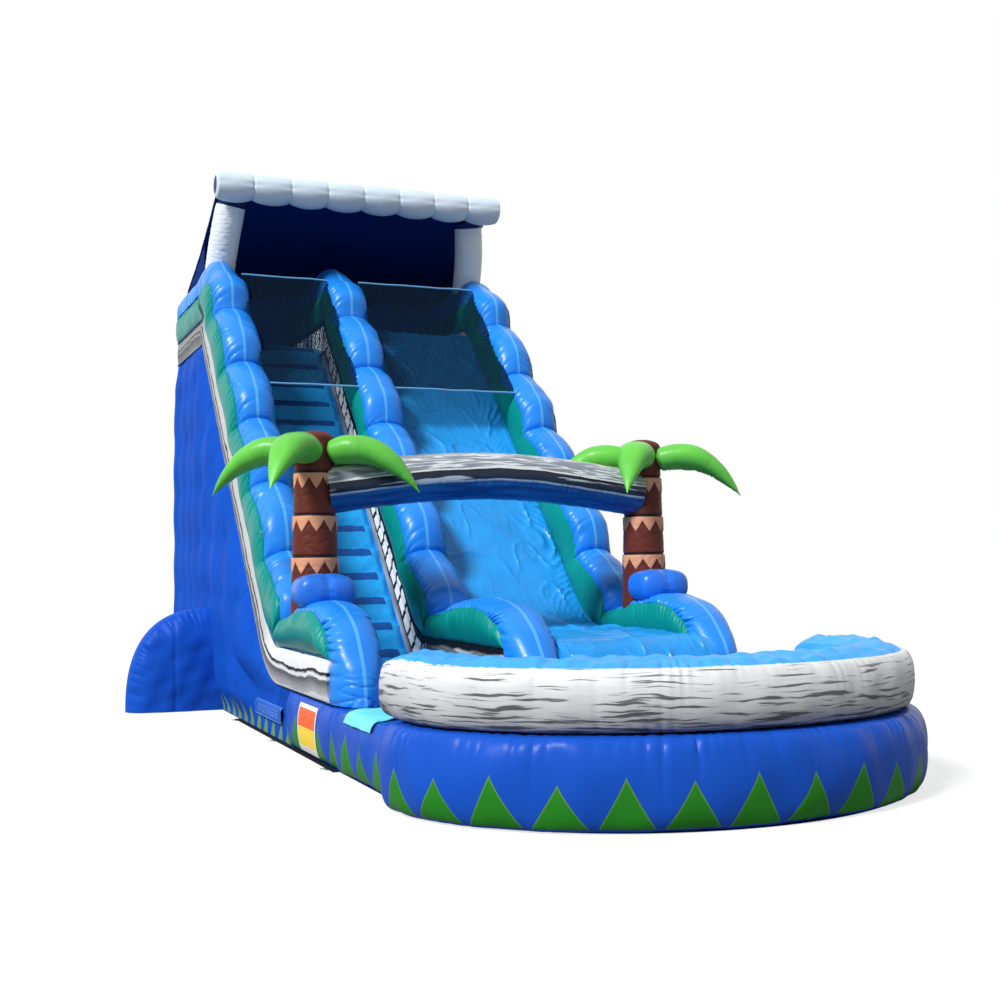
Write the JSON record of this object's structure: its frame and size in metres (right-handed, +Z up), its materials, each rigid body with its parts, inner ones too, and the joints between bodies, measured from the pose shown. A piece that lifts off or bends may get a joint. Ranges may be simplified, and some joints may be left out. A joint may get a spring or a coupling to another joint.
{
  "type": "inflatable water slide",
  "caption": "Inflatable water slide: a stair lane and a slide lane between wavy padded rails, with a canopy on top, two palms with an arch and a ring-shaped splash pool.",
  "frame": {"origin": "centre of the footprint, on the ground", "axes": "+Z up, +Y from the pool to the tower's back, +X to the right of someone in front of the pool"},
  "size_m": [5.6006, 11.6504, 6.095],
  "materials": {
    "royal_vinyl": "glossy coated fabric",
    "cap_vinyl": "glossy coated fabric",
    "teal_vinyl": "glossy coated fabric",
    "rock_print_vinyl": "printed coated fabric, grey marbling",
    "lane_vinyl": "glossy coated fabric",
    "cyan_vinyl": "glossy coated fabric",
    "navy_vinyl": "matte coated fabric",
    "white_vinyl": "glossy coated fabric",
    "leaf_vinyl": "glossy coated fabric",
    "bark_vinyl": "coated fabric",
    "patch_vinyl": "coated fabric, orange over yellow",
    "net_mesh": "knitted mesh with bound edges",
    "webbing": "woven webbing",
    "steel": "plated",
    "black_plastic": "moulded"
  },
  "bodies": {
    "slide": {"ground_sheet": "royal_vinyl", "back_wall": "royal_vinyl", "pool_base_tube": "royal_vinyl", "blower_sleeve": "royal_vinyl", "platform_deck": "lane_vinyl", "stair_bed": "lane_vinyl", "slide_bed": "lane_vinyl", "slide_liner": "lane_vinyl", "canopy_roof": "navy_vinyl", "tower_web": "webbing", "divider_rock": "rock_print_vinyl", "pool_ring": "rock_print_vinyl", "arch_tube": "rock_print_vinyl", "divider_side": "teal_vinyl", "divider_cap": "cap_vinyl", "stair_net": "net_mesh", "slide_net": "net_mesh", "pool_floor": "cyan_vinyl", "entry_mat": "cyan_vinyl", "plain_patch": "patch_vinyl", "canopy_bolster": "white_vinyl", "zip_tape": "black_plastic", "water_inlet": "black_plastic", "side_wall_left": "royal_vinyl", "foot_pillow_left": "royal_vinyl", "buttress_left": "royal_vinyl", "rail_rock_left": "rock_print_vinyl", "rail_side_left": "teal_vinyl", "rail_cap_left": "cap_vinyl", "canopy_post_left": "white_vinyl", "canopy_net_left": "net_mesh", "palm_trunk_left": "bark_vinyl", "anchor_tape_left": "webbing", "palm_frond_left_left": "leaf_vinyl", "palm_frond_left_front": "leaf_vinyl", "palm_frond_left_right": "leaf_vinyl", "palm_frond_left_back": "leaf_vinyl", "side_wall_right": "royal_vinyl", "foot_pillow_right": "royal_vinyl", "buttress_right": "royal_vinyl", "rail_rock_right": "rock_print_vinyl", "rail_side_right": "teal_vinyl", "rail_cap_right": "cap_vinyl", "canopy_post_right": "white_vinyl", "canopy_net_right": "net_mesh", "palm_trunk_right": "bark_vinyl", "anchor_tape_right": "webbing", "palm_frond_right_left": "leaf_vinyl", "palm_frond_right_front": "leaf_vinyl", "palm_frond_right_right": "leaf_vinyl", "palm_frond_right_back": "leaf_vinyl"},
    "zip_flap": {"zip_flap": "cyan_vinyl"},
    "zip_slider": {"zip_slider": "steel"},
    "valve_lever": {"water_valve_lever": "steel"},
    "anchor_ring_left_1": {"anchor_ring_left_1": "steel"},
    "anchor_ring_left_2": {"anchor_ring_left_2": "steel"},
    "anchor_ring_left_3": {"anchor_ring_left_3": "steel"},
    "anchor_ring_right_1": {"anchor_ring_right_1": "steel"},
    "anchor_ring_right_2": {"anchor_ring_right_2": "steel"},
    "anchor_ring_right_3": {"anchor_ring_right_3": "steel"}
  },
  "joints": [
    {"name": "zip_flap_hinge", "type": "hinge", "parent": "slide", "child": "zip_flap", "pos_m": [-1.7903, -0.73515, 0.3], "axis": [0, 1, 0], "range_deg": [0, 130]},
    {"name": "zip_slider_run", "type": "slide", "parent": "slide", "child": "zip_slider", "axis": [0, -1, 0], "range_m": [0, 0.92]},
    {"name": "valve_turn", "type": "hinge", "parent": "slide", "child": "valve_lever", "pos_m": [0.85, 5.28015, 0.9793], "axis": [0, 0, 1], "range_deg": [0, 90]},
    {"name": "anchor_ring_left_1_swing", "type": "hinge", "parent": "slide", "child": "anchor_ring_left_1", "pos_m": [-1.8433, 1.02485, 0.009], "axis": [0, 1, 0], "range_deg": [0, 110]},
    {"name": "anchor_ring_left_2_swing", "type": "hinge", "parent": "slide", "child": "anchor_ring_left_2", "pos_m": [-1.8433, -0.67515, 0.009], "axis": [0, 1, 0], "range_deg": [0, 110]},
    {"name": "anchor_ring_left_3_swing", "type": "hinge", "parent": "slide", "child": "anchor_ring_left_3", "pos_m": [-1.8433, -2.47515, 0.009], "axis": [0, 1, 0], "range_deg": [0, 110]},
    {"name": "anchor_ring_right_1_swing", "type": "hinge", "parent": "slide", "child": "anchor_ring_right_1", "pos_m": [1.8433, 1.02485, 0.009], "axis": [0, -1, 0], "range_deg": [0, 110]},
    {"name": "anchor_ring_right_2_swing", "type": "hinge", "parent": "slide", "child": "anchor_ring_right_2", "pos_m": [1.8433, -0.67515, 0.009], "axis": [0, -1, 0], "range_deg": [0, 110]},
    {"name": "anchor_ring_right_3_swing", "type": "hinge", "parent": "slide", "child": "anchor_ring_right_3", "pos_m": [1.8433, -2.47515, 0.009], "axis": [0, -1, 0], "range_deg": [0, 110]}
  ]
}
